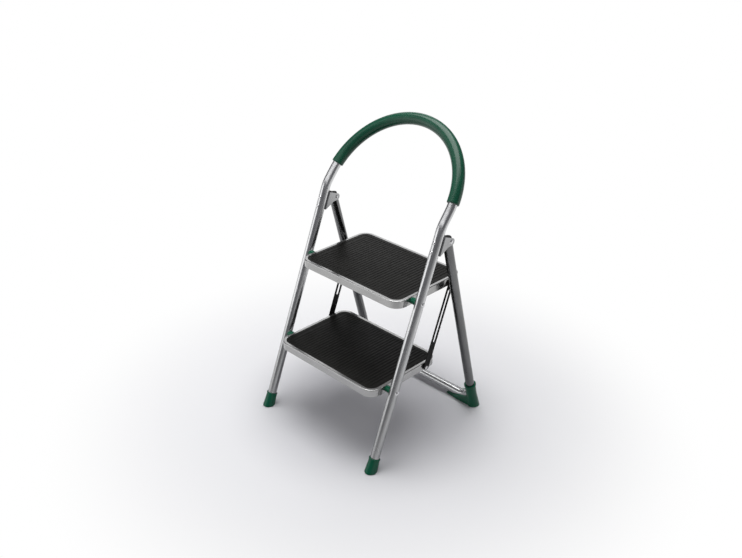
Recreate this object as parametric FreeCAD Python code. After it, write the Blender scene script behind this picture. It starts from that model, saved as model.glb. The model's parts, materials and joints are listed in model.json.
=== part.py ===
import FreeCAD, Part
import math
import os

os.makedirs("parts", exist_ok=True)
V = FreeCAD.Vector
ORIGIN = V(0, 0, 0)
ACROSS = V(1, 0, 0)

# A folding two-step stool of bent steel tube, in millimetres. It stands open on the floor:
# +X is its right side seen from the front, +Y its rear, +Z up. Both sides mirror across X = 0.
# The origin lies on the floor, midway between the feet.

# Steel tubes
tube_diameter = 25.0
tube_wall = 1.2
frame_half_spacing = 210.0      # tube axes from the middle plane
front_feet_ahead = 211.85       # front tubes' floor points ahead of the origin
front_lean = 21.7               # degrees from upright, front tubes
front_cut_height = 10.0         # along the tube, from the floor to its cut end
kink_above_step = 200.2         # along the tube, from the upper step's pivot to the hoop's kink
kink_bend_radius = 90.0
hoop_lean = 39.4                # degrees from upright, plane of the hoop
hoop_straight = 37.5            # from the kink's point to the start of the arch
rear_lean = 14.8                # degrees from upright, rear legs
rear_pivot_below_kink = 30.55   # along the front tube
rear_pivot_setback = 36.8       # rear pivot behind the front tube's axis, square to the tube
rear_crossbar_height = 22.0     # axis of the bottom bar above the floor
rear_bend_radius = 45.0
rear_leg_overrun = 5.4          # leg above its pivot

# Hand grip
grip_diameter = 33.0
grip_end_angle = 7.0            # degrees of the arch left bare at each side
grip_end_round = 3.0

# Steps
step_side_gap = 13.0            # from the front tube's inner side to the step's side
step_front = 55.5               # front edge from the pivot
step_rear = 200.3               # rear edge from the pivot
step_rise = 9.6                 # mat's top above the pivot
step_skirt = 21.0               # height of the pressed pan
step_corner_radius = 33.5
step_edge_round = 2.4
step_lip = 5.0                  # return flange along the skirt's lower edge
sheet = 1.2
mat_margin = 8.9                # bare rim round the mat
mat_thickness = 2.6
mat_sunk = 3.1                  # depth of the panel that holds the mat
mat_border = 9.0
rib_pitch = 5.0
rib_width = 2.6
rib_height = 0.8
lower_pivot_along = 225.3       # along the front tube, from the floor
step_interval = 241.8           # along the front tube, between the two steps' pivots
stiffener_width = 46.0
stiffener_foot = 12.0
stiffener_depth = 9.0

# Step pivots
bush_tube_diameter = 21.0
bush_step_diameter = 17.0
pivot_rivet_diameter = 6.0
rivet_head_diameter = 12.0
rivet_head_height = 2.6
rivet_tail_diameter = 9.0
rivet_tail_height = 2.0

# Link straps
strap_width = 20.0
strap_thickness = 2.5
strap_end = 6.5                 # shallow round ends, beyond the pins
strap_stand_off = 3.0           # bush between the step's side and the strap
strap_setback = 147.5           # strap pins behind the step pivots
strap_drop = 2.6                # strap pins below the step pivots
strap_slot_width = 8.0
strap_slot_low = 72.0           # lower end of the slot above the lower pin
strap_slot_top = 14.0           # upper end of the slot below the upper pin
link_pin_diameter = 6.0
link_head_diameter = 10.0
link_head_height = 2.4
link_bush_diameter = 15.0
stud_diameter = 9.6             # slot studs, at the head and the shoulder
stud_head_height = 1.8

# Clevis brackets
bracket_sheet = 1.6
bracket_front = 7.0             # folded front edges behind the tube's axis
bracket_above = 9.4            # above the pivot
bracket_behind = 11.5           # behind the pivot
bracket_waist = 6.0             # cheeks' straight back ends this far below the pivot
bracket_web_length = 50.0
bracket_rivets_below = [11.0, 36.0]
bracket_rivet_diameter = 5.0
bracket_head_diameter = 9.0
bracket_head_height = 1.8
bracket_corner = 9.0
side_washer = 0.7
side_washer_diameter = 18.0
plug_rim = 1.2
plug_dome = 1.6

# Feet
foot_rim_diameter = 28.4
foot_sole_diameter = 34.0
foot_height = 39.0              # along the tube
foot_edge_round = 2.2
foot_lip = 1.2                  # rolled rim round the collar's mouth
foot_lip_height = 3.0
tread_groove = 1.2
tread_pitch = 6.0
tread_width = 2.2
shoe_sleeve_diameter = 31.0
shoe_sole_diameter = 38.0
shoe_height = 81.0              # collar's rim above the floor
shoe_cradle_rise = 16.0         # wedge's top climbs this far along the bend
shoe_wedge_length = 93.0        # from the leg's axis to the wedge's tip
shoe_tip_height = 5.0
shoe_tip_half_width = 11.0
shoe_edge_round = 2.0
shoe_lip = 1.6
shoe_lip_height = 4.0

# Fits
press_gap = 0.05                # radial, piece on piece of one body
running_gap = 0.1               # radial, pin in a turning hole
side_gap = 0.3                  # beside a turning piece
overrun = 2.0                   # cuts run this far past a face

tube_radius = tube_diameter / 2
bore_radius = tube_radius - tube_wall
lean = math.radians(front_lean)
lean_rear = math.radians(rear_lean)
lean_hoop = math.radians(hoop_lean)
step_half_width = frame_half_spacing - tube_radius - step_side_gap
upper_pivot_along = lower_pivot_along + step_interval
kink_along = upper_pivot_along + kink_above_step
rear_pivot_along = kink_along - rear_pivot_below_kink
shoe_inner_end = frame_half_spacing - shoe_wedge_length


def front_point(along, behind=0.0, x=frame_half_spacing):
    """A point on the front tube's line: distance up the tube, and square to it towards the rear."""
    y = along * math.sin(lean) + behind * math.cos(lean) - front_feet_ahead
    z = along * math.cos(lean) - behind * math.sin(lean)
    return V(x, y, z)


front_axis = V(0, math.sin(lean), math.cos(lean))
front_back = V(0, math.cos(lean), -math.sin(lean))
rear_pivot = front_point(rear_pivot_along, rear_pivot_setback)
leg_down = V(0, math.sin(lean_rear), -math.cos(lean_rear))
leg_back = V(0, math.cos(lean_rear), math.sin(lean_rear))


def leg_point(down, behind=0.0, x=frame_half_spacing):
    """A point on the rear leg's line: distance down from the pivot, and square to it rearwards."""
    base = V(x, rear_pivot.y, rear_pivot.z)
    return base + leg_down * down + leg_back * behind


def mirrored(shape):
    """The same piece on the left side."""
    return shape.mirror(ORIGIN, ACROSS)


def rod(start, end, radius, end_radius=None):
    """A round bar or a cone from one point to another."""
    run = end - start
    if end_radius is None or abs(end_radius - radius) < press_gap:
        return Part.makeCylinder(radius, run.Length, start, run)
    return Part.makeCone(radius, end_radius, run.Length, start, run)


def rounded_path(points, radius):
    """Straight runs joined by tangent arcs of one radius."""
    edges = []
    start = points[0]
    for before, corner, after in zip(points, points[1:], points[2:]):
        inward = (before - corner).normalize()
        onward = (after - corner).normalize()
        half_turn = (math.pi - inward.getAngle(onward)) / 2
        reach = radius * math.tan(half_turn)
        bulge = radius / math.cos(half_turn) - radius
        middle = corner + (inward + onward).normalize() * bulge
        first = corner + inward * reach
        last = corner + onward * reach
        edges.append(Part.LineSegment(start, first).toShape())
        edges.append(Part.Arc(first, middle, last).toShape())
        start = last
    edges.append(Part.LineSegment(start, points[-1]).toShape())
    return edges


def swept(edges, radius):
    """A round bar along a path."""
    spine = Part.Wire(edges)
    first = edges[0]
    start = first.valueAt(first.FirstParameter)
    heading = first.tangentAt(first.FirstParameter)
    ring = Part.Wire(Part.Circle(start, heading, radius).toShape())
    return spine.makePipeShell([ring], True, False)


def bent_tube(edges, outer_radius, inner_radius):
    """A hollow tube along a path."""
    return swept(edges, outer_radius).cut(swept(edges, inner_radius))


def rivet_head(base, heading, radius, height):
    """A low domed head that stands on a face."""
    ball = (radius * radius + height * height) / (2 * height)
    sphere = Part.makeSphere(ball, base + heading * (height - ball), heading)
    keep = Part.makeCylinder(radius + height, height, base, heading)
    return sphere.common(keep)


def saddled_head(base, heading, radius, height, tube):
    """A domed head that stands on a tube's crest, its underside formed to the tube."""
    drop = tube_radius - math.sqrt(tube_radius ** 2 - radius ** 2)
    disc = Part.makeCylinder(radius, drop + press_gap, base - heading * drop, heading)
    return disc.fuse(rivet_head(base + heading * press_gap, heading, radius, height)).cut(tube)


def fused(shapes):
    """Several shapes as one clean solid."""
    return shapes[0].multiFuse(shapes[1:]).removeSplitter()


def export(name, shape):
    shape.exportStep(os.path.join("parts", name + ".step"))


def export_pair(name, right_shape):
    export(name + "_right", right_shape)
    export(name + "_left", mirrored(right_shape))


# Front frame
kink = front_point(kink_along)
hoop_up = V(0, math.sin(lean_hoop), math.cos(lean_hoop))
arch_centre = V(0, kink.y, kink.z) + hoop_up * hoop_straight
arch_radius = frame_half_spacing
rear_crossbar_down = (rear_pivot.z - rear_crossbar_height) / math.cos(lean_rear)


def arch_point(angle, radius=arch_radius):
    """A point of the hoop's arch, by its angle from the right-hand start."""
    return arch_centre + ACROSS * (radius * math.cos(angle)) + hoop_up * (radius * math.sin(angle))


def hoop_edges():
    right = rounded_path([front_point(front_cut_height), kink, arch_point(0)], kink_bend_radius)
    arch = Part.Arc(arch_point(0), arch_point(math.pi / 2), arch_point(math.pi)).toShape()
    left_points = [arch_point(math.pi), V(-kink.x, kink.y, kink.z)]
    left_points.append(front_point(front_cut_height, x=-frame_half_spacing))
    return right + [arch] + rounded_path(left_points, kink_bend_radius)


def pivot_bore(along, behind, radius, reach=2 * tube_diameter):
    """A hole straight across the right-hand tube."""
    middle = front_point(along, behind)
    return rod(middle - ACROSS * reach, middle + ACROSS * reach, radius)


def bracket_rivet_line(below):
    """Front and rear points of a bracket rivet's axis, square through the front tube."""
    along = rear_pivot_along - below
    return front_point(along, -tube_radius), front_point(along, tube_radius + bracket_sheet)


def front_frame():
    tube = bent_tube(hoop_edges(), tube_radius, bore_radius)
    holes = []
    for along in (upper_pivot_along, lower_pivot_along):
        holes.append(pivot_bore(along, 0, pivot_rivet_diameter / 2 + press_gap))
    for below in bracket_rivets_below:
        front, back = bracket_rivet_line(below)
        reach = front_back * overrun
        holes.append(rod(front - reach, back + reach, bracket_rivet_diameter / 2 + press_gap))
    holes += [mirrored(hole) for hole in holes]
    return tube.cut(holes)


def hand_grip():
    start = math.radians(grip_end_angle)
    ends = [arch_point(start), arch_point(math.pi / 2), arch_point(math.pi - start)]
    path = [Part.Arc(*ends).toShape()]
    foam = swept(path, grip_diameter / 2)
    rims = []
    for edge in foam.Edges:
        if edge.Curve.TypeId == "Part::GeomCircle" and edge.Closed:
            if abs(edge.Curve.Radius - grip_diameter / 2) < press_gap:
                rims.append(edge)
    foam = foam.makeFillet(grip_end_round, rims)
    return foam.cut(swept(path, tube_radius + press_gap))


def front_foot():
    """A flared rubber cap on the leaning tube, cut level at the floor."""
    rim = foot_rim_diameter / 2
    sole = foot_sole_diameter / 2
    below = sole * math.tan(lean) + overrun
    flare = (sole - rim) / foot_height
    low_radius = sole + flare * below
    body = rod(front_point(-below), front_point(foot_height), low_radius, rim)
    lip = rod(front_point(foot_height - foot_lip_height), front_point(foot_height), rim + foot_lip)
    body = fused([body, lip])
    body = body.makeFillet(tube_wall / 2, [max(body.Edges, key=lambda edge: edge.CenterOfMass.z)])
    reach = foot_sole_diameter
    slab = Part.makeBox(2 * reach, 2 * reach, reach)
    slab.translate(front_point(0) - V(reach, reach, reach))
    body = body.cut(slab)
    body = body.makeFillet(foot_edge_round, [min(body.Edges, key=lambda edge: edge.CenterOfMass.z)])
    bore_end = front_point(foot_height + overrun)
    body = body.cut(rod(front_point(front_cut_height), bore_end, tube_radius + press_gap))
    grooves = []
    count = int(foot_sole_diameter / tread_pitch / 2)
    for index in range(-count, count + 1):
        groove = Part.makeBox(2 * reach, tread_width, 2 * tread_groove)
        groove.translate(front_point(0) + V(-reach, index * tread_pitch - tread_width / 2, -tread_groove))
        grooves.append(groove)
    return body.cut(grooves)


# Rear frame
upper_pivot = front_point(upper_pivot_along, x=0)
lower_pivot = front_point(lower_pivot_along, x=0)


def rear_edges():
    top = -rear_leg_overrun
    low = rear_crossbar_down
    left = -frame_half_spacing
    points = [leg_point(top), leg_point(low), leg_point(low, x=left), leg_point(top, x=left)]
    return rounded_path(points, rear_bend_radius)


def rear_frame():
    tube = bent_tube(rear_edges(), tube_radius, bore_radius)
    across = ACROSS * tube_diameter
    pivot_hole = rod(rear_pivot - across, rear_pivot + across, pivot_rivet_diameter / 2 + running_gap)
    return tube.cut([pivot_hole, mirrored(pivot_hole)])


def leg_plug():
    """A domed plug in the open top of the rear leg; its stem straddles the pivot rivet."""
    top = leg_point(-rear_leg_overrun)
    up = leg_down * -1
    stem = rod(rear_pivot, top, bore_radius - press_gap)
    notch = pivot_bore(rear_pivot_along, rear_pivot_setback, pivot_rivet_diameter / 2 + running_gap)
    rim = rod(top, top + up * plug_rim, tube_radius)
    dome = rivet_head(top + up * plug_rim, up, tube_radius, plug_dome)
    return fused([stem, rim, dome]).cut(notch)


def below_floor(reach):
    """A slab under the floor, for level cuts."""
    slab = Part.makeBox(4 * reach, 4 * reach, reach)
    slab.translate(V(0, -2 * reach, -reach))
    return slab


def rear_shoe():
    """A moulded corner shoe: sleeve round the leg, wedge under the bend and the bottom bar."""
    rim_down = (rear_pivot.z - shoe_height) / math.cos(lean_rear)
    floor_down = rear_pivot.z / math.cos(lean_rear)
    past_floor = floor_down + shoe_sole_diameter / 2
    sleeve_radius = shoe_sleeve_diameter / 2
    sole_radius = shoe_sole_diameter / 2
    flare_start = floor_down - (floor_down - rim_down) / 2
    sleeve = rod(leg_point(rim_down), leg_point(flare_start), sleeve_radius)
    lip = rod(leg_point(rim_down), leg_point(rim_down + shoe_lip_height), sleeve_radius + shoe_lip)
    sleeve = fused([sleeve, lip])
    flare = rod(leg_point(flare_start), leg_point(past_floor), sleeve_radius, sole_radius)
    cradle_top = rear_crossbar_down - tube_radius / 4
    tip_top = floor_down - shoe_tip_height
    outer = frame_half_spacing
    bend_reach = frame_half_spacing - rear_bend_radius
    sections = []
    stations = ((shoe_inner_end, tip_top, shoe_tip_half_width), (bend_reach, cradle_top, sleeve_radius))
    for x, top, half_width in stations + ((outer, cradle_top - shoe_cradle_rise, sleeve_radius),):
        corners = [leg_point(top, -half_width, x), leg_point(top, half_width, x)]
        corners += [leg_point(past_floor, half_width, x), leg_point(past_floor, -half_width, x)]
        sections.append(Part.makePolygon(corners + [corners[0]]))
    wedge = Part.makeLoft(sections, True, True)
    tip_edges = [edge for edge in wedge.Edges if abs(edge.CenterOfMass.x - shoe_inner_end) < press_gap]
    wedge = wedge.makeFillet(shoe_edge_round, tip_edges)
    sleeve = sleeve.makeFillet(tube_wall / 2, [max(sleeve.Edges, key=lambda edge: edge.CenterOfMass.z)])
    body = fused([sleeve, flare, wedge]).cut(below_floor(frame_half_spacing))
    body = body.cut(swept(rear_edges(), tube_radius + press_gap))
    grooves = []
    reach = shoe_sole_diameter
    count = int((frame_half_spacing - shoe_inner_end) / (2 * tread_pitch))
    for index in range(1, count + 1):
        groove = Part.makeBox(tread_width, 2 * reach, 2 * tread_groove)
        x = shoe_inner_end + index * 2 * tread_pitch
        groove.translate(V(x, leg_point(floor_down).y - reach, -tread_groove))
        grooves.append(groove)
    return body.cut(grooves)


# Clevis brackets
cheek_inner = tube_radius + side_washer + side_gap / 3
cheek_outer = cheek_inner + bracket_sheet


def bracket_web(low, top):
    """The part of the bracket that saddles the back of the tube."""
    web = rod(front_point(low), front_point(top), tube_radius + bracket_sheet)
    keep = Part.makeBox(4 * tube_radius, 2 * tube_radius, top - low)
    start = front_point(low, bracket_front, frame_half_spacing - 2 * tube_radius)
    keep.Placement = FreeCAD.Placement(start, FreeCAD.Rotation(ACROSS, -front_lean))
    return web.common(keep)


def clevis_bracket():
    """A folded channel on the back of the front tube; its tapered cheeks hold the rear leg."""
    top = rear_pivot_along + bracket_above
    low = top - bracket_web_length
    rear = rear_pivot_setback + bracket_behind
    waist = rear_pivot_along - bracket_waist
    throat = rear_pivot_setback - tube_radius / 2
    x = frame_half_spacing - cheek_outer
    corners = [front_point(top, bracket_front, x), front_point(top, rear, x), front_point(waist, rear, x)]
    corners.append(front_point(waist - bracket_corner, throat, x))
    corners.append(front_point(low, bracket_front + bracket_sheet + press_gap, x))
    corners.append(front_point(low, bracket_front, x))
    side = Part.Face(Part.makePolygon(corners + [corners[0]])).extrude(ACROSS * 2 * cheek_outer)
    rounds = []
    for edge in side.Edges:
        middle = edge.CenterOfMass
        straight = abs(edge.tangentAt(edge.FirstParameter).x) > 0.99
        if straight and min(middle.distanceToPoint(V(middle.x, c.y, c.z)) for c in corners[1:4]) < press_gap:
            rounds.append(edge)
    side = side.makeFillet(bracket_corner, rounds)
    folds = []
    for edge in side.Edges:
        middle = edge.CenterOfMass - front_point(0, bracket_front)
        along_tube = abs(edge.tangentAt(edge.FirstParameter).dot(front_axis)) > 0.99
        if along_tube and abs(middle.dot(front_back)) < press_gap:
            folds.append(edge)
    side = side.makeFillet(bracket_sheet, folds)
    gap_start = front_point(low - overrun, bracket_front + bracket_sheet, frame_half_spacing - cheek_inner)
    gap = Part.makeBox(2 * cheek_inner, rear + overrun, bracket_web_length + 2 * overrun)
    gap.Placement = FreeCAD.Placement(gap_start, FreeCAD.Rotation(ACROSS, -front_lean))
    bracket = fused([side.cut(gap), bracket_web(low, top)])
    holes = [rod(front_point(0), front_point(kink_along), tube_radius + press_gap)]
    holes.append(pivot_bore(rear_pivot_along, rear_pivot_setback, pivot_rivet_diameter / 2 + press_gap))
    for below in bracket_rivets_below:
        front, back = bracket_rivet_line(below)
        holes.append(rod(front, back + front_back * overrun, bracket_rivet_diameter / 2 + press_gap))
    return bracket.cut(holes)


def bracket_rivets():
    """Two rivets square through the tube and the web, each end formed to the round it sits on."""
    rivets = []
    tube = rod(front_point(0), front_point(kink_along), tube_radius)
    web = rod(front_point(0), front_point(kink_along), tube_radius + bracket_sheet)
    for below in bracket_rivets_below:
        front, back = bracket_rivet_line(below)
        shank = rod(front, back, bracket_rivet_diameter / 2)
        head = saddled_head(front, front_back * -1, bracket_head_diameter / 2, bracket_head_height, tube)
        tail = saddled_head(back, front_back, bracket_head_diameter / 2, bracket_head_height, web)
        rivets.append(fused([shank, head, tail]))
    return Part.makeCompound(rivets)


def side_washers():
    """Thin nylon washers between the leg and the two cheeks."""
    washers = []
    bore = pivot_bore(rear_pivot_along, rear_pivot_setback, pivot_rivet_diameter / 2 + press_gap)
    for side in (1, -1):
        inner = rear_pivot + ACROSS * (side * (cheek_inner - side_washer))
        outer = rear_pivot + ACROSS * (side * cheek_inner)
        disc = rod(inner, outer, side_washer_diameter / 2)
        washers.append(disc.cut(bore))
    return Part.makeCompound(washers)


def rear_pivot_rivet():
    outer = rear_pivot + ACROSS * cheek_outer
    inner = rear_pivot - ACROSS * cheek_outer
    shank = rod(inner, outer, pivot_rivet_diameter / 2)
    head = rivet_head(outer, ACROSS, rivet_head_diameter / 2, rivet_head_height)
    tail = rivet_head(inner, ACROSS * -1, rivet_tail_diameter / 2, rivet_tail_height)
    return fused([shank, head, tail])


# Steps
def rounded_slab(inset, low, high, corner):
    """A level slab with round corners, its pivot at the origin, shrunk by an inset."""
    half = step_half_width - inset
    front = -step_front + inset
    rear = step_rear - inset
    slab = Part.makeBox(2 * half, rear - front, high - low, V(-half, front, low))
    uprights = [edge for edge in slab.Edges if abs(edge.tangentAt(edge.FirstParameter).z) > 0.99]
    return slab.makeFillet(corner, uprights)


def level_edges(shape, height):
    """The edges that lie flat at one height."""
    box_of = [(edge, edge.BoundBox) for edge in shape.Edges]
    return [edge for edge, box in box_of if abs(box.ZMin - height) + abs(box.ZMax - height) < press_gap]


rim_top = step_rise - (mat_thickness - mat_sunk)
skirt_low = rim_top - step_skirt
panel_top = rim_top - mat_sunk
pin_inside = step_half_width - sheet


def step_pan():
    """A pressed sheet pan: rounded rim, sunk panel, skirt with a return flange."""
    outer = rounded_slab(0, skirt_low, rim_top, step_corner_radius)
    outer = outer.makeFillet(step_edge_round, level_edges(outer, rim_top))
    recess_corner = step_corner_radius - mat_margin + press_gap
    outer = outer.cut(rounded_slab(mat_margin - press_gap, panel_top, rim_top + overrun, recess_corner))
    lip_corner = step_corner_radius - sheet - step_lip
    inner = rounded_slab(sheet, skirt_low + sheet, panel_top - sheet, step_corner_radius - sheet)
    mouth = rounded_slab(sheet + step_lip, skirt_low - overrun, skirt_low + 2 * sheet, lip_corner)
    pan = outer.cut([inner, mouth])
    across = ACROSS * (step_half_width + overrun)
    pivot_radius = pivot_rivet_diameter / 2 + running_gap
    pin_radius = link_pin_diameter / 2 + press_gap
    holes = [rod(ORIGIN - across, across, pivot_radius)]
    strap_hole = strap_pin(ORIGIN)
    holes.append(rod(strap_hole - across, strap_hole + across, pin_radius))
    return pan.cut(holes)


def step_stiffener():
    """A folded hat channel across the underside of the panel."""
    high = panel_top - sheet
    half = step_half_width - sheet - step_lip
    middle = (step_rear - step_front) / 2
    crown = stiffener_width / 2 - stiffener_foot
    points = [(-stiffener_width / 2, high), (-crown, high), (-crown + sheet, high - stiffener_depth)]
    points += [(crown - sheet, high - stiffener_depth), (crown, high), (stiffener_width / 2, high)]
    inner = [(y, z - sheet) for y, z in points]
    corners = [V(-half, middle + y, z) for y, z in points + inner[::-1]]
    return Part.Face(Part.makePolygon(corners + [corners[0]])).extrude(ACROSS * 2 * half)


def step_mat():
    """A rubber mat with fine ribs that run from front to rear inside a plain border."""
    corner = step_corner_radius - mat_margin
    base = rounded_slab(mat_margin, panel_top, step_rise - rib_height, corner)
    ribs = []
    field_half = step_half_width - mat_margin - mat_border
    count = int(field_half / rib_pitch)
    front = -step_front + mat_margin + mat_border
    length = step_front + step_rear - 2 * (mat_margin + mat_border)
    low = step_rise - rib_height
    outline = [V(-field_half, front, low - rib_height)]
    for index in range(-count, count + 1):
        left = index * rib_pitch - rib_width / 2
        right = left + rib_width
        outline += [V(left, front, low), V(left, front, step_rise), V(right, front, step_rise)]
        outline.append(V(right, front, low))
    outline.insert(1, V(-field_half, front, low))
    outline += [V(field_half, front, low), V(field_half, front, low - rib_height)]
    field = Part.Face(Part.makePolygon(outline + [outline[0]])).extrude(V(0, length, 0))
    frame = rounded_slab(mat_margin, low, step_rise, corner)
    frame = frame.cut(rounded_slab(mat_margin + mat_border, low - overrun, step_rise + overrun, corner / 2))
    inside = rounded_slab(mat_margin + mat_border, low - rib_height, step_rise, corner / 2)
    return fused([base, frame, field.common(inside)])


def step_bush():
    """The moulded bush between the front tube and the step's side, saddled to the tube."""
    start = V(step_half_width + side_gap, 0, 0)
    end = V(frame_half_spacing, 0, 0)
    body = rod(start, end, bush_step_diameter / 2, bush_tube_diameter / 2)
    tube = rod(front_axis * -tube_diameter, front_axis * tube_diameter, tube_radius + press_gap)
    tube.translate(end)
    hole = rod(ORIGIN, end + ACROSS * tube_diameter, pivot_rivet_diameter / 2 + press_gap)
    return body.cut([tube, hole])


def step_rivet():
    """The long rivet through the front tube, the bush and the step's side."""
    outer = V(frame_half_spacing + tube_radius, 0, 0)
    inner = V(pin_inside - side_gap, 0, 0)
    shank = rod(inner, outer, pivot_rivet_diameter / 2)
    middle = V(frame_half_spacing, 0, 0)
    reach = front_axis * tube_diameter
    tube = rod(middle - reach, middle + reach, tube_radius)
    head = saddled_head(outer, ACROSS, rivet_head_diameter / 2, rivet_head_height, tube)
    tail = rivet_head(inner, ACROSS * -1, rivet_tail_diameter / 2, rivet_tail_height)
    return fused([shank, head, tail])


# Link straps
strap_inner = step_half_width + strap_stand_off
strap_outer = strap_inner + strap_thickness
strap_length = upper_pivot_along - lower_pivot_along


def flat_slot(length_low, length_high, width, end_height, x, thickness):
    """A bar with round ends in the strap's plane, by the distances of its end centres."""
    half = width / 2
    low = front_axis * length_low + V(x, 0, 0)
    high = front_axis * length_high + V(x, 0, 0)
    side = front_back * half
    cap = front_axis * end_height
    edges = [Part.LineSegment(low + side, high + side), Part.Arc(high + side, high + cap, high - side)]
    edges += [Part.LineSegment(high - side, low - side), Part.Arc(low - side, low - cap, low + side)]
    outline = Part.Wire([edge.toShape() for edge in edges])
    return Part.Face(outline).extrude(ACROSS * thickness)


def link_strap():
    """A flat slotted strap that joins the two steps, drawn from its lower pin."""
    inner = strap_inner + side_gap / 2
    body = flat_slot(0, strap_length, strap_width, strap_end, inner, strap_thickness - side_gap)
    slot_start = strap_slot_low + strap_slot_width / 2
    slot_end = strap_length - strap_slot_top - strap_slot_width / 2
    depth = strap_thickness + 2 * overrun
    reach = V(strap_inner - overrun, 0, 0)
    half_slot = strap_slot_width / 2
    holes = [flat_slot(slot_start, slot_end, strap_slot_width, half_slot, strap_inner - overrun, depth)]
    for along in (0, strap_length):
        start = front_axis * along + reach
        holes.append(rod(start, start + ACROSS * depth, link_pin_diameter / 2 + running_gap))
    body = body.cut(holes)
    body.translate(strap_pin(lower_pivot))
    return body


def strap_pin(pivot):
    """Centre of a strap pin on the middle plane, behind a step's pivot."""
    return pivot + V(0, strap_setback, -strap_drop)


def link_pin(pivot):
    """A shouldered rivet: tail inside the skirt, shoulder bush, strap, domed head."""
    inner = V(pin_inside, 0, 0)
    outer = V(strap_outer, 0, 0)
    shank = rod(inner, outer, link_pin_diameter / 2)
    head = rivet_head(outer, ACROSS, link_head_diameter / 2, link_head_height)
    tail = rivet_head(inner, ACROSS * -1, rivet_tail_diameter / 2, rivet_tail_height)
    pin = fused([shank, head, tail])
    pin.translate(strap_pin(pivot))
    return pin


def link_bush(pivot):
    """The black shoulder bush between the step's side and the strap."""
    start = V(step_half_width, 0, 0)
    end = V(strap_inner, 0, 0)
    bush = rod(start, end, link_bush_diameter / 2)
    bush = bush.cut(rod(ORIGIN, end + ACROSS * overrun, link_pin_diameter / 2 + press_gap))
    bush.translate(strap_pin(pivot))
    return bush


def slot_stud():
    """A stud on the rear leg's inner side that runs in the strap's slot and holds up its top end."""
    centre = strap_pin(upper_pivot) - front_axis * (strap_slot_top + strap_slot_width / 2)
    inner = V(strap_inner, centre.y, centre.z)
    shoulder = V(strap_outer, centre.y, centre.z)
    outer = V(frame_half_spacing - tube_radius - side_gap, centre.y, centre.z)
    shank = rod(inner, outer, strap_slot_width / 2 - running_gap)
    collar = rod(shoulder, outer, stud_diameter / 2)
    head = rivet_head(inner, ACROSS * -1, stud_diameter / 2, stud_head_height)
    return fused([shank, collar, head])


def placed(shape, pivot):
    """The piece moved to a step's pivot."""
    moved = shape.copy()
    moved.translate(pivot)
    return moved


export("front_frame_tube", front_frame())
export("hand_grip", hand_grip())
export_pair("front_foot", front_foot())
export("rear_frame_tube", rear_frame())
export_pair("rear_leg_plug", leg_plug())
export_pair("rear_shoe", rear_shoe())
export_pair("clevis_bracket", clevis_bracket())
export_pair("bracket_rivets", bracket_rivets())
export_pair("clevis_washers", side_washers())
export_pair("rear_pivot_rivet", rear_pivot_rivet())

for level, pivot in (("upper", upper_pivot), ("lower", lower_pivot)):
    export(level + "_step_pan", placed(step_pan(), pivot))
    export(level + "_step_stiffener", placed(step_stiffener(), pivot))
    export(level + "_step_mat", placed(step_mat(), pivot))
    export_pair(level + "_step_bush", placed(step_bush(), pivot))
    export_pair(level + "_step_rivet", placed(step_rivet(), pivot))
    export_pair(level + "_link_rivet", link_pin(pivot))
    export_pair(level + "_link_bush", link_bush(pivot))
export_pair("link_strap", link_strap())
export_pair("slot_stud", slot_stud())
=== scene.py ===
import json
import math

import bmesh
import bpy
from mathutils import Matrix, Vector


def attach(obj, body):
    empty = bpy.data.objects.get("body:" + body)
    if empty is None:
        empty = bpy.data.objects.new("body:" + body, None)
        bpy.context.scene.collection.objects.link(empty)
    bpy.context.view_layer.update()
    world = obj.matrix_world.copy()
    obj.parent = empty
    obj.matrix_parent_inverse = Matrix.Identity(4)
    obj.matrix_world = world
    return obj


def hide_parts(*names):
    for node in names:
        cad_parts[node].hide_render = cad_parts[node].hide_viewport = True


# Looks of a folding two-step stool of bent steel tube. Lengths are in metres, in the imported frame:
# +X is the stool's right side, +Y its rear, +Z up, and the origin is on the floor under its middle.

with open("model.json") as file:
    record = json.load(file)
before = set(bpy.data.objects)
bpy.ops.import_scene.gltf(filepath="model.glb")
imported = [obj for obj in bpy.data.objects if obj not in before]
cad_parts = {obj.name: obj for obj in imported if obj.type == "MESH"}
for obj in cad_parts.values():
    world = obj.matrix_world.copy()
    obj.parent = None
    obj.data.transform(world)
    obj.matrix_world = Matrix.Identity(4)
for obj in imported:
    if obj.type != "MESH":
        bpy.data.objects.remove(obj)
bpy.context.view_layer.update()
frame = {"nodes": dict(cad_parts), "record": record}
nodes = frame["nodes"]
scene = bpy.context.scene

# Tube frame
tube_radius = 0.0125
frame_half_spacing = 0.210
front_lean = math.radians(21.7)
front_feet_ahead = 0.21185
kink_along = 0.6673
hoop_lean = math.radians(39.4)
hoop_straight = 0.0375

# Hand grip
grip_radius = 0.0165
grip_end_angle = math.radians(7)
grip_end_round = 0.003
grip_end_steps = 6
grip_lining = 0.012
grip_steps = 120

# Treads
step_half_width = 0.1845
step_front = 0.0555
step_rear = 0.2003
step_rise = 0.0096
step_corner_radius = 0.0335
mat_margin = 0.0089
mat_thickness = 0.0026
mat_border = 0.009
mat_edge_round = 0.0007
mat_edge_steps = 3
mat_corner_steps = 10
rib_pitch = 0.0103
rib_width = 0.0058
rib_height = 0.0008
rib_edge_round = 0.6 * rib_height
rib_edge_steps = 2
upper_pivot_along = 0.4671
lower_pivot_along = 0.2253

# Finish of the meshes
ring_segments = 64
fit_gap = 0.00005
merge_distance = 1e-6
smooth_angle = math.radians(35)

# Camera
camera_azimuth = math.radians(45.01)
camera_elevation = math.radians(27.63)
camera_place = Vector((1.4638, -1.4646, 1.4955))
horizontal_view = math.radians(46.409)

# Floor: distances from the stool's middle between which its tone changes
floor_radius = 9
floor_segments = 96
floor_tone = (0.735, 0.735, 0.75)
# Painted shadow: a darker, slightly cool floor tone under the stool, fading out between these distances from
# its middle.
painted_shadow_tone = (0.555, 0.555, 0.58)
painted_shadow_fade = (0.16, 0.44)
white_fade = (0.36, 0.94)
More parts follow.
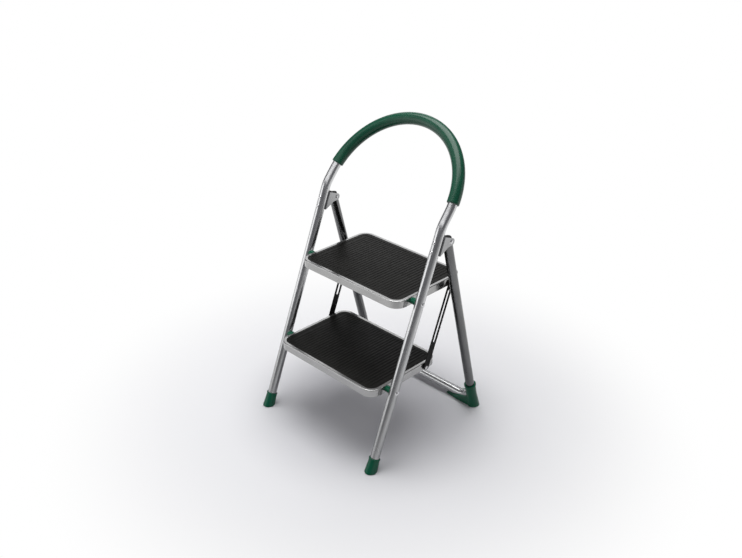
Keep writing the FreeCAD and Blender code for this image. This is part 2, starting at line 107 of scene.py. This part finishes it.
# Painted shade: well to the front right, along this side, the floor's tone darkens and its white glow falls
# to the least share.
painted_shade_side = Vector((1, -1, 0)).normalized()
painted_shade_fade = (0.60, 0.95)
painted_shade_tone = (0.24, 0.24, 0.245)
clear_of_painted_shade_least = 0.4

ACROSS = Vector((1, 0, 0))
front_axis = Vector((0, math.sin(front_lean), math.cos(front_lean)))
hoop_up = Vector((0, math.sin(hoop_lean), math.cos(hoop_lean)))
hoop_square = ACROSS.cross(hoop_up)


def front_point(along, x=frame_half_spacing):
    """A point on the front tube's axis."""
    point = front_axis * along
    return Vector((x, point.y - front_feet_ahead, point.z))


kink = front_point(kink_along, 0)
arch_centre = kink + hoop_up * hoop_straight


# Materials
def new_material(name):
    material = bpy.data.materials.new(name)
    material.use_nodes = True
    return material, material.node_tree, material.node_tree.nodes["Principled BSDF"]


def add_node(tree, kind, settings=None, **inputs):
    """A node with its settings and plain input values."""
    node = tree.nodes.new(kind)
    for key, value in (settings or {}).items():
        setattr(node, key, value)
    for key, value in inputs.items():
        node.inputs[key.replace("_", " ")].default_value = value
    return node


def place_on_piece(tree, stretch=(1, 1, 1)):
    """The piece's own coordinates, stretched so that a pattern runs along one axis."""
    source = add_node(tree, "ShaderNodeTexCoord")
    mapping = add_node(tree, "ShaderNodeMapping", Scale=stretch)
    tree.links.new(source.outputs["Object"], mapping.inputs["Vector"])
    return mapping.outputs["Vector"]


def noise(tree, scale, detail=3.0, stretch=(1, 1, 1)):
    node = add_node(tree, "ShaderNodeTexNoise", Scale=scale, Detail=detail)
    tree.links.new(place_on_piece(tree, stretch), node.inputs["Vector"])
    return node.outputs["Fac"]


def cells(tree, scale):
    """The distance from the nearest of many scattered points."""
    node = add_node(tree, "ShaderNodeTexVoronoi", Scale=scale)
    tree.links.new(place_on_piece(tree), node.inputs["Vector"])
    return node.outputs["Distance"]


def colour(value):
    return (*value, 1.0) if hasattr(value, "__len__") else (value, value, value, 1.0)


def ramp(tree, value, low, high, first, last):
    """Maps a value's range to two greys or colours."""
    stops = add_node(tree, "ShaderNodeValToRGB")
    start, end = stops.color_ramp.elements
    start.position, end.position = low, high
    start.color, end.color = colour(first), colour(last)
    tree.links.new(value, stops.inputs["Fac"])
    return stops.outputs["Color"]


def faded(tree, value, span, first=0.0, last=1.0):
    """Goes smoothly from the first number to the last as a value crosses a span."""
    node = add_node(tree, "ShaderNodeMapRange", {"interpolation_type": "SMOOTHSTEP"},
                    From_Min=span[0], From_Max=span[1], To_Min=first, To_Max=last)
    tree.links.new(value, node.inputs["Value"])
    return node.outputs["Result"]


def combined(tree, operation, first, second):
    """A sum, product or the like of two values."""
    node = add_node(tree, "ShaderNodeMath", {"operation": operation})
    tree.links.new(first, node.inputs[0])
    tree.links.new(second, node.inputs[1])
    return node.outputs[0]


def blended(tree, share, first, second):
    """Mixes two colour sockets, or a socket and a plain colour, by a share."""
    node = add_node(tree, "ShaderNodeMix", {"data_type": "RGBA"})
    for socket, value in ((node.inputs[0], share), (node.inputs[6], first), (node.inputs[7], second)):
        if isinstance(value, bpy.types.NodeSocket):
            tree.links.new(value, socket)
        else:
            socket.default_value = colour(value) if socket.type == "RGBA" else value
    return node.outputs[2]


def toned(tone, factor):
    """A darker or lighter version of a colour."""
    return tuple(factor * part for part in tone)


def bump(tree, shader, heights):
    """Chains bumps: pairs of a height socket and (strength, distance)."""
    normal = None
    for height, (strength, distance) in heights:
        node = add_node(tree, "ShaderNodeBump", Strength=strength, Distance=distance)
        tree.links.new(height, node.inputs["Height"])
        if normal is not None:
            tree.links.new(normal, node.inputs["Normal"])
        normal = node.outputs["Normal"]
    tree.links.new(normal, shader.inputs["Normal"])


def plated_steel(name, dark, light, rough, low_painted_light=None, low_painted_light_fade=None):
    """Satin nickel plating: cloudy tone, a few dull smears and polishing lines along the piece.

    A tone painted at the low end fades out between two heights: painted shade at the front tube's feet, a
    painted highlight on the rear tube's floor bar.
    """
    material, tree, shader = new_material(name)
    shader.inputs["Metallic"].default_value = 1.0
    cloud = ramp(tree, noise(tree, scale=14, detail=4), 0.32, 0.70, dark, light)
    if low_painted_light:
        split = add_node(tree, "ShaderNodeSeparateXYZ")
        tree.links.new(place_on_piece(tree), split.inputs[0])
        # Painted light: the low tone laid over the piece's lower end.
        cloud = blended(tree, faded(tree, split.outputs["Z"], low_painted_light_fade), low_painted_light, cloud)
    speck = ramp(tree, noise(tree, scale=420, detail=2), 0.60, 0.78, 0.0, 0.35)
    tree.links.new(blended(tree, speck, cloud, toned(dark, 0.55)), shader.inputs["Base Color"])
    smear = ramp(tree, noise(tree, scale=38, detail=5, stretch=(1, 1, 0.3)), 0.35, 0.72, *rough)
    tree.links.new(smear, shader.inputs["Roughness"])
    polishing = noise(tree, scale=1500, detail=2, stretch=(1, 1, 0.03))
    bump(tree, shader, [(polishing, (0.06, 0.00006)), (noise(tree, scale=700, detail=2), (0.05, 0.00008))])
    return material


def coated_sheet(name, dark, light, rough, flake):
    """Silver-grey powder coat: fine orange peel with metal flakes in it."""
    material, tree, shader = new_material(name)
    shader.inputs["Metallic"].default_value = 0.9
    shader.inputs["Coat Weight"].default_value = 0.25
    shader.inputs["Coat Roughness"].default_value = 0.3
    base = ramp(tree, noise(tree, scale=18, detail=4), 0.3, 0.72, dark, light)
    sparkle = ramp(tree, cells(tree, 1600), 0.05, 0.22, 1.0, 0.0)
    tree.links.new(blended(tree, sparkle, base, flake), shader.inputs["Base Color"])
    dulled = ramp(tree, noise(tree, scale=55, detail=4), 0.3, 0.7, *rough)
    tree.links.new(dulled, shader.inputs["Roughness"])
    peel = noise(tree, scale=900, detail=2)
    waves = noise(tree, scale=160, detail=2)
    bump(tree, shader, [(peel, (0.06, 0.0001)), (waves, (0.04, 0.0002))])
    return material


def moulded(name, dark, light, rough, grain, specular):
    """Moulded rubber or plastic with a slight change of tone, faint rubbed places and a fine grain.

    The grain is its scale, its strength and its depth.
    """
    material, tree, shader = new_material(name)
    shader.inputs["Specular IOR Level"].default_value = specular
    base = ramp(tree, noise(tree, scale=26, detail=4), 0.3, 0.74, dark, light)
    rubbed = ramp(tree, noise(tree, scale=75, detail=5), 0.62, 0.85, 0.0, 0.4)
    tree.links.new(blended(tree, rubbed, base, toned(light, 1.5)), shader.inputs["Base Color"])
    dulled = ramp(tree, noise(tree, scale=90), 0.3, 0.7, *rough)
    tree.links.new(dulled, shader.inputs["Roughness"])
    grain_scale, grain_strength, grain_depth = grain
    fine = noise(tree, scale=grain_scale)
    waves = noise(tree, scale=60, detail=2)
    bump(tree, shader, [(fine, (grain_strength, grain_depth)), (waves, (0.08, 0.0004))])
    return material


def soft_foam(name, dark, light, rough):
    """Closed-cell foam: fine cells, a soft sheen and a few pressed patches."""
    material, tree, shader = new_material(name)
    shader.inputs["Specular IOR Level"].default_value = 0.36
    shader.inputs["Sheen Weight"].default_value = 0.04
    shader.inputs["Sheen Roughness"].default_value = 0.4
    base = ramp(tree, noise(tree, scale=20, detail=5), 0.3, 0.75, dark, light)
    pores = ramp(tree, cells(tree, 1100), 0.0, 0.28, 0.55, 0.0)
    tree.links.new(blended(tree, pores, base, toned(dark, 0.45)), shader.inputs["Base Color"])
    dulled = ramp(tree, noise(tree, scale=45, detail=4), 0.3, 0.7, *rough)
    tree.links.new(dulled, shader.inputs["Roughness"])
    pressed = noise(tree, scale=35)
    bump(tree, shader, [(cells(tree, 1100), (0.06, 0.0002)), (pressed, (0.10, 0.0008))])
    return material


finishes = {
    # The tube's darker low tone, fading out by about half a metre up, is painted shade.
    "satin_tube": plated_steel(
        "satin_nickel_tube_low_painted_shade", dark=(0.51, 0.513, 0.517), light=(0.58, 0.583, 0.588), rough=(0.22, 0.30),
        low_painted_light=(0.38, 0.382, 0.386), low_painted_light_fade=(0.12, 0.48)),
    "satin_bracket": plated_steel(
        "satin_nickel_bracket", dark=(0.33, 0.333, 0.337), light=(0.40, 0.403, 0.408), rough=(0.28, 0.38)),
    "bright_rivet": plated_steel(
        "bright_rivet", dark=(0.60, 0.60, 0.61), light=(0.70, 0.70, 0.71), rough=(0.10, 0.18)),
    "silver_coat": coated_sheet(
        "silver_powder_coat", dark=(0.35, 0.35, 0.348), light=(0.40, 0.40, 0.397), rough=(0.16, 0.22),
        flake=0.46),
    "green_rubber": moulded(
        "green_moulded_rubber", dark=(0.0015, 0.070, 0.036), light=(0.003, 0.098, 0.050),
        rough=(0.14, 0.22), grain=(650, 0.06, 0.0002), specular=0.25),
    "green_foam": soft_foam(
        "green_soft_foam", dark=(0.0015, 0.050, 0.026), light=(0.003, 0.068, 0.035), rough=(0.25, 0.32)),
    "black_rubber": moulded(
        "black_ribbed_rubber", dark=(0.0042, 0.004, 0.0034), light=(0.0075, 0.0073, 0.0062),
        rough=(0.36, 0.46), grain=(900, 0.10, 0.0002), specular=0.11),
    "black_coat": moulded(
        "black_strap_coat", dark=(0.003, 0.003, 0.003), light=(0.006, 0.006, 0.006),
        rough=(0.26, 0.38), grain=(1200, 0.12, 0.0001), specular=0.08),
    "black_plastic": moulded(
        "black_plug_plastic", dark=(0.004, 0.004, 0.004), light=(0.008, 0.008, 0.008),
        rough=(0.34, 0.46), grain=(800, 0.15, 0.0002), specular=0.15),
    "black_nylon": moulded(
        "black_nylon_washer", dark=(0.006, 0.006, 0.006), light=(0.011, 0.011, 0.011),
        rough=(0.40, 0.52), grain=(800, 0.1, 0.0002), specular=0.4),
}

# The rear tube has a darker copy of the plating, painted shade standing in for the dark reflections on its
# legs, and a lighter tone near the floor, a painted highlight on its floor bar.
rear_painted_light_plating = plated_steel(
    "satin_nickel_rear_tube_painted_light", dark=(0.140, 0.141, 0.143), light=(0.170, 0.171, 0.173), rough=(0.20, 0.28),
    low_painted_light=(0.50, 0.503, 0.507), low_painted_light_fade=(0.034, 0.09))

for part in frame["record"]["subparts"]:
    materials = nodes[part["node"]].data.materials
    materials.clear()
    if part["node"] == "rear_frame_tube":
        materials.append(rear_painted_light_plating)
    else:
        materials.append(finishes[part["material_slot"]])


# Mesh tools
def ring_frame(centre, heading):
    """A frame whose Z runs along heading and whose X lies across the stool."""
    z = heading.normalized()
    x = (ACROSS - z * ACROSS.dot(z)).normalized()
    turned = Matrix((x, z.cross(x), z)).transposed().to_4x4()
    return Matrix.Translation(centre) @ turned


def of_kind(items, kind):
    """The vertices or the edges among the things that an operator gives back."""
    return [item for item in items if isinstance(item, kind)]


def grown_ring(bm, edges, scale, shift):
    """Extrudes a ring of edges, scales it round its middle and shifts it."""
    pulled = bmesh.ops.extrude_edge_only(bm, edges=edges)["geom"]
    verts = of_kind(pulled, bmesh.types.BMVert)
    middle = sum((vert.co for vert in verts), Vector()) / len(verts)
    for vert in verts:
        vert.co = middle + (vert.co - middle) * scale + shift
    return of_kind(pulled, bmesh.types.BMEdge)


def finished(bm, name, slot, body, *stands_for):
    """Makes a bmesh into a piece that rides on a body and stands for its CAD nodes."""
    bmesh.ops.remove_doubles(bm, verts=bm.verts, dist=merge_distance)
    bmesh.ops.recalc_face_normals(bm, faces=bm.faces)
    mesh = bpy.data.meshes.new(name)
    bm.to_mesh(mesh)
    bm.free()
    mesh.materials.append(finishes[slot])
    mesh.shade_smooth()
    mesh.set_sharp_from_angle(angle=smooth_angle)
    piece = bpy.data.objects.new(name, mesh)
    scene.collection.objects.link(piece)
    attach(piece, body)
    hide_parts(*stands_for)
    return piece


# Foam grip
def arch_turn(angle):
    """The turn that carries the arch's right-hand start round the hoop."""
    swing = Matrix.Rotation(angle, 4, hoop_square)
    return Matrix.Translation(arch_centre) @ swing @ Matrix.Translation(-arch_centre)


def round_end(bm, edges, angle, inward):
    """Draws the sleeve's end in over a small round and back into the bore."""
    here = arch_turn(angle)
    heading = (here.to_3x3() @ hoop_up) * -inward
    rim = list({vert for edge in edges for vert in edge.verts})
    bmesh.ops.translate(bm, vec=heading * -grip_end_round, verts=rim)
    ring = edges
    radius = grip_radius
    quarter_step = math.pi / 2 / grip_end_steps
    for index in range(1, grip_end_steps + 1):
        turned = quarter_step * index
        target = grip_radius - grip_end_round * (1 - math.cos(turned))
        advance = grip_end_round * (math.sin(turned) - math.sin(turned - quarter_step))
        ring = grown_ring(bm, ring, target / radius, heading * advance)
        radius = target
    ring = grown_ring(bm, ring, (tube_radius + fit_gap) / radius, Vector())
    grown_ring(bm, ring, 1, heading * -grip_lining)


def foam_grip():
    """The foam sleeve round the hoop, with rounded ends."""
    bm = bmesh.new()
    start = arch_turn(grip_end_angle) @ ring_frame(arch_centre + ACROSS * frame_half_spacing, hoop_up)
    bmesh.ops.create_circle(bm, segments=ring_segments, radius=grip_radius, matrix=start)
    first_ring = bm.edges[:]
    step = arch_turn((math.pi - 2 * grip_end_angle) / grip_steps)
    ring = first_ring
    for _ in range(grip_steps):
        pulled = bmesh.ops.extrude_edge_only(bm, edges=ring)["geom"]
        bmesh.ops.transform(bm, matrix=step, verts=of_kind(pulled, bmesh.types.BMVert))
        ring = of_kind(pulled, bmesh.types.BMEdge)
    round_end(bm, first_ring, grip_end_angle, 1)
    round_end(bm, ring, math.pi - grip_end_angle, -1)
    piece = finished(bm, "foam_grip", "green_foam", "main_frame", "hand_grip")


foam_grip()


# Ribbed treads
def rounded_plate(bm, inset, corner, low, high, pivot):
    """A flat plate with rounded corners. It gives back the edges round its top."""
    half = step_half_width - inset
    front = -step_front + inset
    rear = step_rear - inset
    middle = Vector((0, (front + rear) / 2, 0)) + pivot
    shape = Matrix.Translation(middle) @ Matrix.Diagonal((2 * half, rear - front, 1, 1))
    sheet = bmesh.ops.create_grid(bm, x_segments=1, y_segments=1, size=0.5, matrix=shape)["verts"]
    bmesh.ops.bevel(bm, geom=sheet, offset=corner, segments=mat_corner_steps, profile=0.5, affect="VERTICES")
    face = max(bm.faces, key=lambda item: item.calc_area())
    bmesh.ops.translate(bm, vec=Vector((0, 0, low)), verts=face.verts[:])
    pulled = bmesh.ops.extrude_face_region(bm, geom=[face], use_keep_orig=True)["geom"]
    raised = of_kind(pulled, bmesh.types.BMVert)
    bmesh.ops.translate(bm, vec=Vector((0, 0, high - low)), verts=raised)
    edges = of_kind(pulled, bmesh.types.BMEdge)
    return [edge for edge in edges if all(vert in raised for vert in edge.verts)]


def add_ribs(bm, pivot, low):
    """Round-topped bars from front to rear, shorter where the field's corners are round."""
    edge_inset = mat_margin + mat_border + rib_height
    half = step_half_width - edge_inset
    front = -step_front + edge_inset
    rear = step_rear - edge_inset
    corner = (step_corner_radius - mat_margin) / 2
    count = int((half - rib_width / 2) / rib_pitch)
    for index in range(-count, count + 1):
        x = index * rib_pitch
        into_corner = max(0.0, abs(x) + rib_width / 2 - (half - corner))
        drawn = corner - math.sqrt(max(0.0, corner ** 2 - into_corner ** 2))
        length = rear - front - 2 * drawn
        middle = pivot + Vector((x, (front + rear) / 2, low + rib_height / 2 - fit_gap))
        shape = Matrix.Translation(middle) @ Matrix.Diagonal((rib_width, length, rib_height, 1))
        bar = bmesh.ops.create_cube(bm, size=1, matrix=shape)["verts"]
        edges = {edge for vert in bar for edge in vert.link_edges}
        crest = [edge for edge in edges if all(vert.co.z > middle.z for vert in edge.verts)]
        bmesh.ops.bevel(bm, geom=crest, offset=rib_edge_round, segments=rib_edge_steps, profile=0.5,
                        affect="EDGES")


def ribbed_mat(level, pivot):
    """The black rubber tread: a soft-edged plate with ribs in a sunk field inside a border."""
    bm = bmesh.new()
    corner = step_corner_radius - mat_margin
    top_edges = rounded_plate(bm, mat_margin, corner, step_rise - mat_thickness, step_rise, pivot)
    bmesh.ops.bevel(bm, geom=top_edges, offset=mat_edge_round, segments=mat_edge_steps, profile=0.5,
                    affect="EDGES")
    field = max((face for face in bm.faces if face.normal.z > 0.9), key=lambda item: item.calc_area())
    bmesh.ops.inset_region(bm, faces=[field], thickness=mat_border - mat_edge_round)
    bmesh.ops.inset_region(bm, faces=[field], thickness=rib_height / 2, depth=-rib_height)
    add_ribs(bm, pivot, step_rise - rib_height)
    finished(bm, level + "_ribbed_mat", "black_rubber", level + "_step", level + "_step_mat")


for level, along in (("upper", upper_pivot_along), ("lower", lower_pivot_along)):
    ribbed_mat(level, front_point(along, 0))

# Camera
flat = math.cos(camera_elevation)
back = Vector((math.sin(camera_azimuth) * flat, -math.cos(camera_azimuth) * flat, math.sin(camera_elevation)))
lens = bpy.data.cameras.new("camera")
lens.sensor_fit = "HORIZONTAL"
lens.angle = horizontal_view
camera = bpy.data.objects.new("camera", lens)
scene.collection.objects.link(camera)
camera.matrix_world = Matrix.Translation(camera_place) @ back.to_track_quat("Z", "Y").to_matrix().to_4x4()
scene.camera = camera
scene.view_settings.view_transform = "Standard"


# Floor and light
def seen_rays(tree):
    """One where the camera, a reflection or a view through glass sees the surface."""
    path = add_node(tree, "ShaderNodeLightPath")
    total = path.outputs["Is Camera Ray"]
    for name in ("Is Glossy Ray", "Is Transmission Ray"):
        total = combined(tree, "MAXIMUM", total, path.outputs[name])
    return total


def floor_material():
    """Pale, with a painted shadow under the stool, white away from it, and painted shade well to its front
    right.
    """
    material, tree, shader = new_material("pale_floor")
    shader.inputs["Roughness"].default_value = 1.0
    shader.inputs["Specular IOR Level"].default_value = 0.0
    place = place_on_piece(tree)
    distance = add_node(tree, "ShaderNodeVectorMath", {"operation": "LENGTH"})
    tree.links.new(place, distance.inputs[0])
    sideways = add_node(tree, "ShaderNodeVectorMath", {"operation": "DOT_PRODUCT"})
    tree.links.new(place, sideways.inputs[0])
    sideways.inputs[1].default_value = painted_shade_side
    # Painted shade towards the front right: it darkens the floor's tone and takes part of the white glow off.
    clear_of_painted_shade = faded(tree, sideways.outputs["Value"], painted_shade_fade, 1.0, clear_of_painted_shade_least)
    # Painted shadow: a darker floor tone under the stool.
    away = faded(tree, distance.outputs["Value"], painted_shadow_fade)
    tone = blended(tree, clear_of_painted_shade, painted_shade_tone, blended(tree, away, painted_shadow_tone, floor_tone))
    tree.links.new(tone, shader.inputs["Base Color"])
    whiteness = combined(tree, "MULTIPLY", faded(tree, distance.outputs["Value"], white_fade), clear_of_painted_shade)
    glow = add_node(tree, "ShaderNodeEmission", Color=(1, 1, 1, 1), Strength=1.0)
    mix = add_node(tree, "ShaderNodeMixShader")
    tree.links.new(combined(tree, "MULTIPLY", whiteness, seen_rays(tree)), mix.inputs[0])
    tree.links.new(shader.outputs[0], mix.inputs[1])
    tree.links.new(glow.outputs[0], mix.inputs[2])
    tree.links.new(mix.outputs[0], tree.nodes["Material Output"].inputs["Surface"])
    return material


def studio_floor():
    bm = bmesh.new()
    bmesh.ops.create_circle(bm, cap_ends=True, segments=floor_segments, radius=floor_radius)
    mesh = bpy.data.meshes.new("floor")
    bm.to_mesh(mesh)
    bm.free()
    mesh.materials.append(floor_material())
    floor = bpy.data.objects.new("floor", mesh)
    scene.collection.objects.link(floor)


def softbox(name, place, aim, size, power):
    lamp = bpy.data.lights.new(name, "AREA")
    lamp.shape = "RECTANGLE"
    lamp.size, lamp.size_y = size
    lamp.energy = power
    holder = bpy.data.objects.new(name, lamp)
    scene.collection.objects.link(holder)
    direction = Vector(aim) - Vector(place)
    holder.matrix_world = Matrix.Translation(place) @ direction.to_track_quat("-Z", "Y").to_matrix().to_4x4()


def studio_world(level, coolness):
    """The same even, slightly cool grey all round, for every ray."""
    world = bpy.data.worlds.new("studio")
    scene.world = world
    world.use_nodes = True
    light = world.node_tree.nodes["Background"]
    light.inputs["Color"].default_value = (level, level, coolness * level, 1)
    light.inputs["Strength"].default_value = 1.0


studio_floor()
studio_world(level=0.165, coolness=1.06)
softbox("overhead_softbox", place=(-0.2, 0.22, 2.45), aim=(0, 0.05, 0), size=(2.0, 2.0), power=60)
softbox("front_softbox", place=(-0.15, -2.2, 2.75), aim=(0, 0, 0.65), size=(7.0, 0.8), power=24)
softbox("left_softbox", place=(-1.75, -2.05, 0.88), aim=(0, 0, 0.45), size=(2.2, 1.6), power=16)
softbox("rear_left_softbox", place=(-1.95, 1.95, 1.6), aim=(0, 0, 0.35), size=(1.6, 1.1), power=6)
softbox("right_rear_softbox", place=(2.2, 2.0, 0.9), aim=(0, 0, 0.35), size=(1.2, 1.5), power=5)
